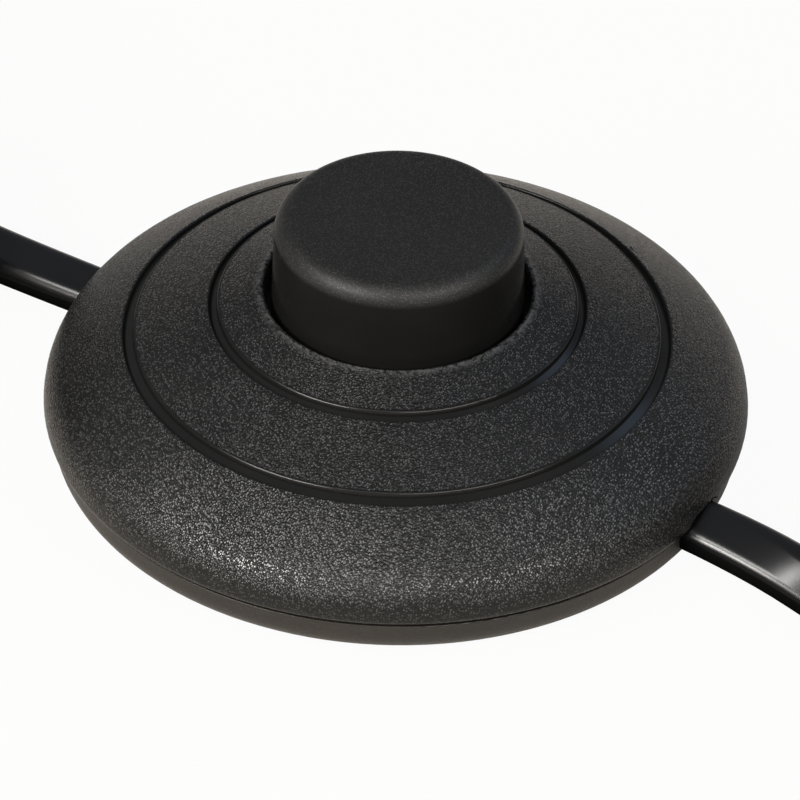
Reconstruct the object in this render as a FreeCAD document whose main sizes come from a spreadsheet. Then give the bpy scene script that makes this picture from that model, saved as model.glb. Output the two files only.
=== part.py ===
"""In-line lamp foot switch: round domed housing, push button, ratchet switch and a flat cord on each side.

Frame: millimetres, +Z up, origin in the middle of the base's underside, +X towards the lamp cord.
"""
import FreeCAD, Part
import math
import os
import re
import Sketcher

Vector = FreeCAD.Vector

# Every size that can be set by itself, in millimetres or degrees.
SIZES = {
    # cover: dome in three terraces between two ring grooves, and a rounded rim
    "cover_radius": 32.0,
    "rim_height": 4.6,
    "rim_rounding": 5.0,
    "shoulder_slope": 36.0,
    "crown_radius": 48.0,
    "dome_radius": 170.0,
    "dome_height": 17.1,
    "hole_clearance": 0.68,
    "hole_edge": 0.4,
    "ring_one_radius": 16.25,
    "ring_one_height": 15.45,
    "ring_one_width": 0.8,
    "ring_two_radius": 23.8,
    "ring_two_height": 12.3,
    "ring_two_width": 1.0,
    "ring_depth": 0.45,
    "ring_draft": 0.1,
    "lip_rounding": 0.15,
    "shell_wall": 1.8,
    "stop_height": 15.0,
    "guide_wall": 1.4,
    "key_width": 2.0,
    "key_depth": 0.9,
    # base: shallow pan with a lap rim inside the cover
    "base_inset": 0.7,
    "base_height": 3.4,
    "base_edge": 2.4,
    "base_lip": 0.08,
    "foot_width": 3.4,
    "foot_recess": 0.4,
    "floor_thickness": 1.2,
    "lap_height": 1.5,
    "lap_wall": 1.6,
    "lap_clearance": 0.25,
    "parting_gap": 0.45,
    # case screws, from below into the cover's bosses
    "case_screw_offset": 22.5,
    "case_screw_radius": 1.5,
    "case_screw_grip": 5.0,
    "case_head_radius": 2.9,
    "case_head_height": 1.7,
    "case_well_radius": 4.4,
    "case_well_top": 4.2,
    "case_well_web": 1.5,
    "cover_boss_radius": 3.0,
    "screw_clearance": 0.25,
    "thread_clearance": 0.05,
    # push button
    "button_radius": 11.37,
    "button_draft": 0.025,
    "button_top": 24.8,
    "button_edge": 1.7,
    "button_wall": 1.6,
    "button_roof": 1.8,
    "button_travel": 4.0,
    "flange_overlap": 1.15,
    "flange_thickness": 1.6,
    "stop_clearance": 0.15,
    "guide_clearance": 0.3,
    # ratchet rotor on the base's post
    "post_radius": 2.0,
    "post_top": 12.5,
    "post_boss_radius": 3.2,
    "post_boss_height": 1.6,
    "bearing_clearance": 0.1,
    "running_gap": 0.2,
    "rotor_radius": 9.2,
    "rotor_disc": 1.2,
    "hub_radius": 3.9,
    "hub_height": 5.6,
    "tooth_inner": 5.0,
    "tooth_outer": 7.6,
    "tooth_span": 50.0,
    "prong_lead": 10.0,
    "rotor_turn": 45.0,
    "tooth_clearance": 0.3,
    # return spring
    "spring_radius": 3.3,
    "spring_wire": 0.8,
    "spring_turns": 6.0,
    "spigot_length": 2.0,
    # contacts
    "contact_radius": 7.6,
    "contact_sheet": 0.6,
    "contact_arm": 2.8,
    "contact_pad_radius": 1.2,
    "contact_pad_height": 0.4,
    "bridge_sheet": 0.5,
    "bridge_width": 3.0,
    "bridge_reach": 9.0,
    "bridge_dimple": 0.25,
    "bridge_clearance": 0.3,
    "stake_radius": 0.5,
    # terminals
    "terminal_size": 5.0,
    "terminal_height": 5.0,
    "terminal_x": 11.0,
    "terminal_y": 12.5,
    "link_y": 14.8,
    "link_length": 12.0,
    "link_screw_pitch": 6.5,
    "wire_hole_radius": 1.2,
    "wire_hole_height": 2.7,
    "terminal_screw_radius": 1.25,
    "terminal_head_radius": 1.8,
    "terminal_head_height": 1.2,
    "pocket_rib": 1.0,
    "pocket_height": 2.2,
    "pocket_clearance": 0.2,
    # cords and their clamps
    "cord_width": 5.4,
    "cord_thickness": 3.2,
    "cord_clearance": 0.35,
    "cord_first_run": 16.5,
    "cord_second_run": 17.0,
    "supply_cord_sway": 2.8,
    "lamp_cord_sway": 4.6,
    "supply_cord_sag": 1.2,
    "lamp_cord_sag": 1.2,
    "cord_lap_in_hank": 11.0,
    "sheath_reach": 0.9,
    "core_radius": 1.0,
    "core_pitch": 2.1,
    "conductor_radius": 0.6,
    "conductor_length": 3.5,
    "clamp_inset": 9.3,
    "clamp_width": 5.0,
    "clamp_length": 17.0,
    "clamp_thickness": 2.2,
    "clamp_bite": 0.2,
    "clamp_screw_pitch": 11.0,
    "clamp_boss_radius": 2.4,
    "clamp_screw_radius": 1.3,
    "clamp_screw_grip": 2.0,
    "clamp_head_radius": 2.5,
    "clamp_head_height": 1.8,
    "screw_slot_width": 0.6,
    "screw_slot_depth": 0.6,
    # put-away lengths: hanks beside the switch, each held by a tie
    "hank_x": 81.0,
    "hank_y": 14.4,
    "hank_straight": 45.0,
    "hank_fold_radius": 17.7,
    "hank_turn_pitch": 3.4,
    "hank_height": 11.2,
    "tie_thickness": 0.8,
    "tie_width": 4.0,
    "tie_head": 5.0,
    # flat two-pin plug
    "plug_length": 26.0,
    "plug_width": 35.3,
    "plug_thickness": 13.7,
    "plug_neck_width": 9.0,
    "plug_neck_thickness": 8.0,
    "relief_length": 20.0,
    "relief_wall": 0.8,
    "plug_gap": 0.2,
    "bend_groove_width": 1.3,
    "bend_groove_pitch": 3.0,
    "bend_groove_core": 0.45,
    "grip_radius": 0.9,
    "grip_depth": 0.5,
    "grip_length": 13.0,
    "grip_pitch": 2.6,
    "pin_pitch": 18.6,
    "pin_radius": 2.0,
    "pin_tip_rounding": 1.0,
    "pin_length": 19.0,
    "pin_root": 6.0,
    "sleeve_radius": 1.75,
    "sleeve_length": 10.0,
    "sleeve_wall": 0.45,
    # stripped lamp end
    "end_core_length": 18.0,
    "ferrule_length": 8.0,
    "ferrule_radius": 0.8,
    "ferrule_collar_radius": 1.35,
}

doc = FreeCAD.newDocument("foot_switch")
sheet = doc.addObject("Spreadsheet::Sheet", "dims")
for row, (alias, value) in enumerate(SIZES.items(), start=1):
    sheet.set(f"A{row}", alias)
    sheet.set(f"B{row}", str(value))
    sheet.setAlias(f"B{row}", alias)
doc.recompute()


def in_sheet(expression):
    """The same expression with every size name pointing to its cell."""
    def cell(word):
        return f"dims.{word[0]}" if word[0] in SIZES else word[0]

    return re.sub(r"[a-z_]+", cell, str(expression))


def mm(expression):
    """The value of an expression of size names."""
    return float(sheet.evalExpression(in_sheet(expression)))


def bind(feature, **expressions):
    """Tie properties of a feature to expressions of size names."""
    for name, expression in expressions.items():
        feature.setExpression(name, in_sheet(expression))


def moved(feature, x=0, y=0, z=0):
    """Tie a feature's position to expressions of size names."""
    for axis, expression in (("x", x), ("y", y), ("z", z)):
        feature.setExpression(f"Placement.Base.{axis}", in_sheet(expression))
    return feature


def cylinder(name, radius, height, x=0, y=0, z=0, along="z"):
    """Cylinder standing on (x, y, z), along one of the axes."""
    feature = doc.addObject("Part::Cylinder", name)
    bind(feature, Radius=radius, Height=height)
    turns = {"x": (Vector(0, 1, 0), 90), "y": (Vector(1, 0, 0), -90), "z": (Vector(0, 0, 1), 0)}
    feature.Placement.Rotation = FreeCAD.Rotation(*turns[along])
    return moved(feature, x, y, z)


def block(name, size, x=0, y=0, z=0):
    """Box standing on z, with x and y at the middle of its foot."""
    feature = doc.addObject("Part::Box", name)
    bind(feature, Length=size[0], Width=size[1], Height=size[2])
    return moved(feature, f"{x} - ({size[0]}) / 2", f"{y} - ({size[1]}) / 2", z)


def joined(name, *features):
    """Union of features."""
    union = doc.addObject("Part::MultiFuse", name)
    union.Shapes = list(features)
    return union


def removed(name, body, *tools):
    """A feature with one or more tools taken out of it."""
    difference = doc.addObject("Part::Cut", name)
    difference.Base = body
    difference.Tool = tools[0] if len(tools) == 1 else joined(f"{name}_tools", *tools)
    return difference


def freeform(name, shape):
    """A feature that holds a shape made from the sheet's sizes."""
    feature = doc.addObject("Part::Feature", name)
    feature.Shape = shape
    return feature


def outline(body, name, corners):
    """Closed sketch in the body's XZ plane, fully tied to the sheet.

    A corner is (across, up), or (across, up, side, radius) where an arc turning to that side leads to it.
    """
    sketch = body.newObject("Sketcher::SketchObject", name)
    plane = next(feature for feature in body.Origin.OriginFeatures if feature.Role == "XZ_Plane")
    sketch.AttachmentSupport = [(plane, "")]
    sketch.MapMode = "FlatFace"
    points = [Vector(mm(corner[0]), mm(corner[1]), 0) for corner in corners]
    ends = []
    for index, corner in enumerate(corners):
        start, finish = points[index - 1], points[index]
        if len(corner) == 2:
            side = sketch.addGeometry(Part.LineSegment(start, finish))
            ends.append((side, 1, 2))
            continue
        chord = finish - start
        left = Vector(-chord.y, chord.x, 0).normalize()
        radius = mm(corner[3])
        bulge = radius - math.sqrt(radius ** 2 - chord.Length ** 2 / 4)
        turn = 1 if corner[2] == "left" else -1
        side = sketch.addGeometry(Part.Arc(start, (start + finish) / 2 - left * turn * bulge, finish))
        ends.append((side, 1, 2) if turn > 0 else (side, 2, 1))
        tied = sketch.addConstraint(Sketcher.Constraint("Radius", side, radius))
        sketch.setExpression(f"Constraints[{tied}]", in_sheet(corner[3]))
    for index, corner in enumerate(corners):
        side, _, last = ends[index]
        follower, first, _ = ends[(index + 1) % len(ends)]
        sketch.addConstraint(Sketcher.Constraint("Coincident", side, last, follower, first))
        for kind, axis, value, expression in (
            ("DistanceX", -2, points[index].x, corner[0]),
            ("DistanceY", -1, points[index].y, corner[1]),
        ):
            if abs(value) < 1e-9:
                sketch.addConstraint(Sketcher.Constraint("PointOnObject", side, last, axis))
                continue
            tied = sketch.addConstraint(Sketcher.Constraint(kind, -1, 1, side, last, value))
            sketch.setExpression(f"Constraints[{tied}]", in_sheet(expression))
    return sketch


def turned(name, corners, lips=(), rounding=None):
    """Body of revolution about Z from a profile of (radius, height) corners.

    lips are the numbers of the corners whose edges are rounded.
    """
    body = doc.addObject("PartDesign::Body", name)
    sketch = outline(body, f"{name}_profile", corners)
    revolution = body.newObject("PartDesign::Revolution", f"{name}_revolution")
    revolution.Profile = sketch
    revolution.ReferenceAxis = (sketch, ["V_Axis"])
    revolution.Angle = 360
    body.Tip = revolution
    if lips:
        doc.recompute()
        places = [(mm(corners[lip][0]), mm(corners[lip][1])) for lip in lips]
        edges = [f"Edge{number}" for number, edge in enumerate(revolution.Shape.Edges, start=1)
                 if isinstance(edge.Curve, Part.Circle)
                 and any(math.hypot(edge.Curve.Radius - radius, edge.Curve.Center.z - height) < 1e-4
                         for radius, height in places)]
        fillet = body.newObject("PartDesign::Fillet", f"{name}_lips")
        fillet.Base = (revolution, edges)
        bind(fillet, Radius=rounding)
        body.Tip = fillet
    return body


def obround(width, thickness, at, across, up):
    """Wire of a flat section with round sides, centred on a point in the plane of two directions."""
    half = (width - thickness) / 2
    signs = ((1, -1), (1, 1), (-1, 1), (-1, -1))
    corners = [at + across * (half * i) + up * (thickness / 2 * j) for i, j in signs]
    right = at + across * (width / 2)
    left = at - across * (width / 2)
    return Part.Wire([
        Part.LineSegment(corners[3], corners[0]).toShape(),
        Part.Arc(corners[0], right, corners[1]).toShape(),
        Part.LineSegment(corners[1], corners[2]).toShape(),
        Part.Arc(corners[2], left, corners[3]).toShape(),
    ])


def rounded_route(name, points):
    """Wire of straight runs joined by tangent arcs, each 0.45 of its shorter run, with the radii printed."""
    points = [Vector(*point) for point in points]
    edges = []
    here = points[0]
    radii = []
    for before, corner, after in zip(points, points[1:], points[2:]):
        arriving = (corner - before).normalize()
        leaving = (after - corner).normalize()
        turn = arriving.getAngle(leaving)
        reach = 0.45 * min((corner - before).Length, (after - corner).Length)
        radii.append(round(reach / math.tan(turn / 2), 1))
        first = corner - arriving * reach
        last = corner + leaving * reach
        middle = corner + (leaving - arriving).normalize() * (
            reach / math.tan(turn / 2) * (1 / math.cos(turn / 2) - 1)
        )
        edges.append(Part.LineSegment(here, first).toShape())
        edges.append(Part.Arc(first, middle, last).toShape())
        here = last
    edges.append(Part.LineSegment(here, points[-1]).toShape())
    wire = Part.Wire(edges)
    print(f"{name}: arc radii {radii}, length {wire.Length:.1f}")
    return wire


def swept(name, points, section):
    """Solid of a section carried along a rounded route without twisting about it."""
    route = rounded_route(name, points)
    pipe = Part.BRepOffsetAPI.MakePipeShell(route)
    pipe.setBiNormalMode(Vector(0, 0, 1))
    pipe.add(section, False, False)
    pipe.build()
    pipe.makeSolid()
    solid = pipe.shape()
    expected = Part.Face(section).Area * route.Length
    print(f"{name}: volume {solid.Volume:.1f} of {expected:.1f}")
    return solid


def flat_cord(name, points):
    """Flat cord along a route, its wide side level."""
    start = Vector(*points[0])
    along = (Vector(*points[1]) - start).normalize()
    across = Vector(0, 0, 1).cross(along).normalize()
    section = obround(mm("cord_width"), mm("cord_thickness"), start, across, along.cross(across))
    return freeform(name, swept(name, points, section))


def round_core(points, name, radius):
    """Round wire along a route."""
    start = Vector(*points[0])
    along = Vector(*points[1]) - start
    return swept(name, points, Part.Wire(Part.makeCircle(radius, start, along)))


def screw(head_radius, head_height, shank_radius, length):
    """Slotted screw standing on its tip: shank from 0 up to its length, head above."""
    shank = Part.makeCylinder(shank_radius, length)
    head = Part.makeCylinder(head_radius, head_height, Vector(0, 0, length))
    width = mm("screw_slot_width")
    depth = mm("screw_slot_depth")
    corner = Vector(-head_radius, -width / 2, length + head_height - depth)
    return shank.fuse(head).cut(Part.makeBox(2 * head_radius, width, depth, corner))


def copies(name, shape, places):
    """Group of equal pieces, one at each place."""
    return freeform(name, Part.makeCompound([shape.translated(Vector(*place)) for place in places]))


# Levels that follow from the sizes.
FLOOR = "(foot_recess + floor_thickness)"
CORD_Z = f"({FLOOR} + cord_thickness / 2)"
BASE_RADIUS = "(cover_radius - base_inset)"
FOOT_INNER = f"({BASE_RADIUS} - base_edge - foot_width)"
CLAMP_X = f"({BASE_RADIUS} - clamp_inset)"
SHEATH_END = f"({CLAMP_X} - clamp_width / 2 - sheath_reach)"
COVER_BOTTOM = "(base_height + parting_gap)"
HOLE_RADIUS = "(button_radius + hole_clearance)"
FLANGE_RADIUS = f"({HOLE_RADIUS} + flange_overlap)"
DOME_FALL = "((ring_one_height - ring_two_height) / (ring_two_radius - ring_one_radius))"
RING_ONE_LOW = f"(ring_one_height - ring_one_width * {DOME_FALL})"
RING_TWO_LOW = f"(ring_two_height - ring_two_width * {DOME_FALL})"
RIM_CENTRE = "(cover_radius - rim_rounding)"
LAP_OUTER = "(cover_radius - shell_wall - lap_clearance)"
LAP_INNER = f"({LAP_OUTER} - lap_wall)"
GUIDE_INNER = f"({FLANGE_RADIUS} + guide_clearance)"
GUIDE_OUTER = f"({GUIDE_INNER} + guide_wall)"
FLANGE_TOP = "(stop_height - stop_clearance)"
FLANGE_BOTTOM = f"({FLANGE_TOP} - flange_thickness)"
GUIDE_BOTTOM = f"({FLANGE_BOTTOM} - button_travel)"
ROOF = "(button_top - button_roof)"
POST_SEAT = f"({FLOOR} + post_boss_height)"
ROTOR_BOTTOM = f"({POST_SEAT} + running_gap)"
VALLEY = f"({ROTOR_BOTTOM} + rotor_disc)"
HUB_TOP = f"({ROTOR_BOTTOM} + hub_height)"
CLIMB = "(button_travel / rotor_turn)"
RAMP_LOW = f"({VALLEY} + button_travel - {CLIMB} * prong_lead)"
WIRE_Z = f"({FLOOR} + wire_hole_height)"
CLAMP_FACE = f"({FLOOR} + cord_thickness)"
CASE_SEAT = "(case_well_top - case_well_web)"
SIDES = (("supply", -1), ("lamp", 1))


def cord_slot(name, first, last):
    """Passage of the cord's section plus clearance along X."""
    gap = 2 * mm("cord_clearance")
    wire = obround(mm("cord_width") + gap, mm("cord_thickness") + gap, Vector(first, 0, mm(CORD_Z)),
                   Vector(0, 1, 0), Vector(0, 0, 1))
    return freeform(name, Part.Face(wire).extrude(Vector(last - first, 0, 0)))


# Base: turned pan, with everything that stands on its floor, then the openings.
pan = turned("base_pan", [
    (0, FLOOR),
    (0, "foot_recess"),
    (FOOT_INNER, "foot_recess"),
    (FOOT_INNER, 0),
    (f"{BASE_RADIUS} - base_edge", 0),
    (BASE_RADIUS, "base_edge", "left", "base_edge"),
    (BASE_RADIUS, "base_height"),
    (LAP_OUTER, "base_height"),
    (LAP_OUTER, "base_height + lap_height"),
    (LAP_INNER, "base_height + lap_height"),
    (LAP_INNER, FLOOR),
], lips=(6,), rounding="base_lip")
SUNK = f"({FLOOR} - floor_thickness / 2)"
RIB_HEIGHT = "(pocket_height + floor_thickness / 2)"
RIB_OFFSET = "(terminal_size / 2 + pocket_clearance + pocket_rib / 2)"
standing = [
    cylinder("post_boss", "post_boss_radius", f"{POST_SEAT} - {SUNK}", z=SUNK),
    cylinder("post", "post_radius", f"post_top - {FLOOR}", z=FLOOR),
]
openings = []
for end, side in (("back", 1), ("front", -1)):
    y = f"{side} * case_screw_offset"
    standing.append(cylinder(f"case_well_{end}", "case_well_radius", f"case_well_top - {SUNK}", 0, y, SUNK))
    openings.append(cylinder(f"case_bore_{end}", "case_head_radius + screw_clearance", CASE_SEAT, 0, y))
    openings.append(cylinder(f"case_hole_{end}", "case_screw_radius + screw_clearance", "case_well_top + 1",
                             0, y))
for cord, side in SIDES:
    for end, along in (("left", 1), ("right", -1)):
        x = f"{side} * {CLAMP_X}"
        y = f"{along} * clamp_screw_pitch / 2"
        rise = f"{CLAMP_FACE} - clamp_bite - {SUNK}"
        standing.append(cylinder(f"{cord}_clamp_boss_{end}", "clamp_boss_radius", rise, x, y, SUNK))
        openings.append(cylinder(f"{cord}_clamp_pilot_{end}", "clamp_screw_radius + thread_clearance",
                                 "cord_thickness + 1", x, y, f"{CLAMP_FACE} - clamp_screw_grip - 0.4"))
    standing.append(block(f"{cord}_pocket_side", ("pocket_rib", "terminal_size", RIB_HEIGHT),
                          f"{side} * (terminal_x + {RIB_OFFSET})", "-terminal_y", SUNK))
    standing.append(block(f"{cord}_pocket_end", ("terminal_size", "pocket_rib", RIB_HEIGHT),
                          f"{side} * terminal_x", f"-(terminal_y + {RIB_OFFSET})", SUNK))
    reach = sorted((side * mm(f"{LAP_INNER} - 3"), side * mm("cover_radius + 2")))
    openings.append(cord_slot(f"{cord}_base_slot", *reach))
    openings.append(block(f"{cord}_base_slot_mouth",
                          ("cover_radius", "cord_width + 2 * cord_clearance", "base_height + lap_height"),
                          f"{side} * ({LAP_INNER} - 1 + cover_radius / 2)", 0, CORD_Z))
for end, side in (("inner", -1), ("outer", 1)):
    standing.append(block(f"link_pocket_{end}", ("link_length - 4", "pocket_rib", RIB_HEIGHT), 0,
                          f"link_y + {side} * {RIB_OFFSET}", SUNK))
base = removed("base", joined("base_standing", pan, *standing), *openings)

# Cover: outer form less a cavity that leaves bosses, guide ring and key ribs standing.
outer_form = turned("cover_outer", [
    (HOLE_RADIUS, COVER_BOTTOM),
    (f"cover_radius - (rim_height - {COVER_BOTTOM})", COVER_BOTTOM),
    ("cover_radius", "rim_height", "left", f"rim_height - {COVER_BOTTOM}"),
    (f"{RIM_CENTRE} + rim_rounding * sin(shoulder_slope)", "rim_height + rim_rounding * cos(shoulder_slope)",
     "left", "rim_rounding"),
    ("ring_two_radius + ring_two_width", RING_TWO_LOW, "left", "crown_radius"),
    ("ring_two_radius + ring_two_width - ring_draft", f"{RING_TWO_LOW} - ring_depth"),
    ("ring_two_radius + ring_draft", "ring_two_height - ring_depth"),
    ("ring_two_radius", "ring_two_height"),
    ("ring_one_radius + ring_one_width", RING_ONE_LOW, "left", "dome_radius"),
    ("ring_one_radius + ring_one_width - ring_draft", f"{RING_ONE_LOW} - ring_depth"),
    ("ring_one_radius + ring_draft", "ring_one_height - ring_depth"),
    ("ring_one_radius", "ring_one_height"),
    (f"{HOLE_RADIUS} + hole_edge", "dome_height", "left", "dome_radius"),
    (HOLE_RADIUS, "dome_height - hole_edge", "left", "hole_edge"),
], lips=(4, 7, 8, 11), rounding="lip_rounding")
inner_rounding = "(rim_rounding - shell_wall)"
cavity = turned("cover_cavity", [
    (f"{HOLE_RADIUS} - 1", f"{COVER_BOTTOM} - 1"),
    ("cover_radius - shell_wall", f"{COVER_BOTTOM} - 1"),
    ("cover_radius - shell_wall", "rim_height"),
    (f"{RIM_CENTRE} + {inner_rounding} * sin(shoulder_slope)",
     f"rim_height + {inner_rounding} * cos(shoulder_slope)", "left", inner_rounding),
    ("ring_two_radius + ring_two_width / 2", "ring_two_height - shell_wall - ring_depth"),
    ("ring_one_radius + ring_one_width / 2", "ring_one_height - shell_wall - ring_depth"),
    (GUIDE_OUTER, f"dome_height - shell_wall - {DOME_FALL} * ({GUIDE_OUTER} - {HOLE_RADIUS})"),
    (GUIDE_OUTER, GUIDE_BOTTOM),
    (GUIDE_INNER, GUIDE_BOTTOM),
    (GUIDE_INNER, "stop_height"),
    (f"{HOLE_RADIUS} - 1", "stop_height"),
])
islands = []
pilots = []
for end, side in (("back", 1), ("front", -1)):
    y = f"{side} * case_screw_offset"
    islands.append(cylinder(f"cover_boss_{end}", "cover_boss_radius", "dome_height", 0, y, "case_well_top"))
    pilots.append(cylinder(f"cover_pilot_{end}", "case_screw_radius + thread_clearance",
                           "case_screw_grip + 0.5", 0, y, "case_well_top"))
for cord, side in SIDES:
    islands.append(block(f"{cord}_key", ("2 * key_depth", "key_width", f"stop_height + 1 - {GUIDE_BOTTOM}"),
                         f"{side} * {GUIDE_INNER}", 0, GUIDE_BOTTOM))
hollow = removed("cover_hollow", cavity, *islands)
through = cord_slot("cover_slot", -mm("cover_radius + 2"), mm("cover_radius + 2"))
top_cover = removed("top_cover", outer_form, hollow, through, *pilots)

case_screw = screw(mm("case_head_radius"), mm("case_head_height"), mm("case_screw_radius"),
                   mm("case_well_web + case_screw_grip"))
case_screw.rotate(Vector(0, 0, 0), Vector(1, 0, 0), 180)
case_screws = copies("case_screws", case_screw, [
    (0, side * mm("case_screw_offset"), mm("case_well_top + case_screw_grip")) for side in (1, -1)])


def ramp_sector(first, last, flat, ramp):
    """Ring sector with a flat end and an end that climbs with the angle, lofted through radial sections."""
    inner = mm("tooth_inner")
    outer = mm("tooth_outer")
    sections = []
    for step in range(6):
        angle = first + (last - first) * step / 5
        out = Vector(math.cos(math.radians(angle)), math.sin(math.radians(angle)), 0)
        corners = [out * inner + Vector(0, 0, flat), out * outer + Vector(0, 0, flat),
                   out * outer + Vector(0, 0, ramp(angle)), out * inner + Vector(0, 0, ramp(angle))]
        sections.append(Part.makePolygon(corners + corners[:1]))
    sector = Part.makeLoft(sections, True)
    if sector.Volume < 0:
        sector.reverse()
    return sector


def four_round(name, shape):
    """Four equal pieces a quarter turn apart."""
    turned_pieces = []
    for quarter in range(4):
        turn = FreeCAD.Placement(Vector(), FreeCAD.Rotation(Vector(0, 0, 1), quarter * 90))
        turned_pieces.append(shape.transformed(turn.toMatrix()))
    return freeform(name, Part.makeCompound(turned_pieces))


# Ratchet rotor: hub, disc and four helical face teeth.
# The helix gives up its turn over the button's travel.
teeth = four_round("rotor_teeth", ramp_sector(
    0, mm("tooth_span"), mm(f"{VALLEY} - rotor_disc / 2"), lambda angle: mm(RAMP_LOW) + mm(CLIMB) * angle))
STAKE_Y = "((post_boss_radius + bridge_clearance + hub_radius) * 0.6)"
stakes = [cylinder(f"rotor_stake_{end}", "stake_radius", "bridge_sheet + rotor_disc / 2", 0,
                   f"{side} * {STAKE_Y}", f"{ROTOR_BOTTOM} - bridge_sheet")
          for end, side in (("back", 1), ("front", -1))]
ratchet_rotor = removed(
    "ratchet_rotor",
    joined("rotor_solid", cylinder("rotor_disc_solid", "rotor_radius", "rotor_disc", z=ROTOR_BOTTOM),
           cylinder("rotor_hub", "hub_radius", "hub_height", z=ROTOR_BOTTOM), teeth, *stakes),
    cylinder("rotor_bore", "post_radius + bearing_clearance", HUB_TOP, z=FLOOR))

# Push button: turned cap with a retaining flange, drive prongs under its roof and a spring spigot.
button_top_radius = "(button_radius - button_draft * (button_top - dome_height))"
cap = turned("button_cap", [
    (0, ROOF),
    ("button_radius - button_wall", ROOF),
    ("button_radius - button_wall", FLANGE_BOTTOM),
    (FLANGE_RADIUS, FLANGE_BOTTOM),
    (FLANGE_RADIUS, FLANGE_TOP),
    (f"button_radius + button_draft * (dome_height - {FLANGE_TOP})", FLANGE_TOP),
    (button_top_radius, "button_top - button_edge"),
    (f"{button_top_radius} - button_edge", "button_top", "left", "button_edge"),
    (0, "button_top"),
])
prongs = four_round("button_prongs", ramp_sector(
    mm("prong_lead"), mm("tooth_span"), mm(f"{ROOF} + button_roof / 3"),
    lambda angle: mm(RAMP_LOW) + mm(CLIMB) * angle + mm("tooth_clearance")))
spigot = cylinder("button_spigot", "spring_radius - spring_wire", "spigot_length + button_roof / 2",
                  z=f"{ROOF} - spigot_length")
keyway = ("2 * (key_depth + guide_clearance)", "key_width + 2 * guide_clearance", "flange_thickness + 1")
keyways = [block(f"{cord}_keyway", keyway, f"{side} * {GUIDE_INNER}", 0, f"{FLANGE_BOTTOM} - 0.5")
           for cord, side in SIDES]
push_button = removed("push_button", joined("button_solid", cap, prongs, spigot), *keyways)

# Return spring between the rotor's hub and the button's roof.
wire_radius = mm("spring_wire / 2")
spring_height = mm(f"{ROOF} - {HUB_TOP} - spring_wire")
pitch = spring_height / mm("spring_turns")
helix = Part.makeHelix(pitch, spring_height, mm("spring_radius"))
wire_section = Part.Wire(Part.makeCircle(wire_radius, Vector(mm("spring_radius"), 0, 0),
                                         Vector(0, 2 * math.pi * mm("spring_radius"), pitch)))
return_spring = freeform("return_spring", Part.Wire(helix).makePipeShell([wire_section], True, True))
return_spring.Placement = FreeCAD.Placement(Vector(0, 0, mm(HUB_TOP) + wire_radius), FreeCAD.Rotation())

# Contact bridge: stamped strip with a ring round the post's boss and a dimple at each end.
bridge_z = f"({ROTOR_BOTTOM} - bridge_sheet)"
ring_inner = "(post_boss_radius + bridge_clearance)"
dimples = [cylinder(f"bridge_dimple_{end}", "bridge_sheet * 1.5", "bridge_dimple + bridge_sheet / 2", 0,
                    f"{side} * contact_radius", f"{bridge_z} - bridge_dimple")
           for end, side in (("back", 1), ("front", -1))]
stake_holes = [cylinder(f"bridge_stake_hole_{end}", "stake_radius", 5, 0, f"{side} * {STAKE_Y}",
                        f"{bridge_z} - 2")
               for end, side in (("back", 1), ("front", -1))]
contact_bridge = removed(
    "contact_bridge",
    joined("bridge_solid",
           block("bridge_strip", ("bridge_width", "2 * bridge_reach", "bridge_sheet"), z=bridge_z),
           cylinder("bridge_ring", f"{ring_inner} + 1.7", "bridge_sheet", z=bridge_z), *dimples),
    cylinder("bridge_eye", ring_inner, 5, z=f"{bridge_z} - 2"), *stake_holes)

# Line contacts: pad and arm of strip brass on the floor, in one with a pillar terminal.
line_contacts = []
for label, side in (("line_in_contact", -1), ("line_out_contact", 1)):
    pillar_x = f"{side} * terminal_x"
    arm_x = f"{side} * contact_radius"
    solid = joined(
        f"{label}_solid",
        block(f"{label}_pillar", ("terminal_size", "terminal_size", "terminal_height"), pillar_x,
              "-terminal_y", FLOOR),
        block(f"{label}_foot",
              ("abs(terminal_x - contact_radius) + contact_arm", "contact_arm", "contact_sheet"),
              f"{side} * (terminal_x + contact_radius) / 2", "-terminal_y", FLOOR),
        block(f"{label}_arm", ("contact_arm", "terminal_y + contact_arm", "contact_sheet"), arm_x,
              "-terminal_y / 2", FLOOR),
        cylinder(f"{label}_pad", "contact_pad_radius", "contact_sheet + contact_pad_height", arm_x, 0, FLOOR))
    line_contacts.append(removed(
        label, solid,
        cylinder(f"{label}_wire_hole", "wire_hole_radius", "terminal_size + 2", pillar_x,
                 "-terminal_y - terminal_size / 2 - 1", WIRE_Z, along="y"),
        cylinder(f"{label}_screw_hole", "terminal_screw_radius + thread_clearance", "terminal_height",
                 pillar_x, "-terminal_y", WIRE_Z)))

# Neutral link: one bar that joins the two unswitched cores.
link_holes = [cylinder("link_wire_hole", "wire_hole_radius", "link_length + 2", "-link_length / 2 - 1",
                       "link_y", WIRE_Z, along="x")]
for cord, side in SIDES:
    link_holes.append(cylinder(f"link_screw_hole_{cord}", "terminal_screw_radius + thread_clearance",
                               "terminal_height", f"{side} * link_screw_pitch / 2", "link_y", WIRE_Z))
link_bar = block("link_bar", ("link_length", "terminal_size", "terminal_height"), 0, "link_y", FLOOR)
neutral_link = removed("neutral_link", link_bar, *link_holes)

# Terminal screws press on the conductors in the wire holes.
screw_tip = mm(f"{WIRE_Z} + conductor_radius")
pillar_top = mm(f"{FLOOR} + terminal_height")
terminal_screw = screw(mm("terminal_head_radius"), mm("terminal_head_height"), mm("terminal_screw_radius"),
                       pillar_top - screw_tip)
terminal_screws = copies("terminal_screws", terminal_screw, [
    (side * mm(x), mm(y), screw_tip)
    for side in (-1, 1) for x, y in (("terminal_x", "-terminal_y"), ("link_screw_pitch / 2", "link_y"))])

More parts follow.
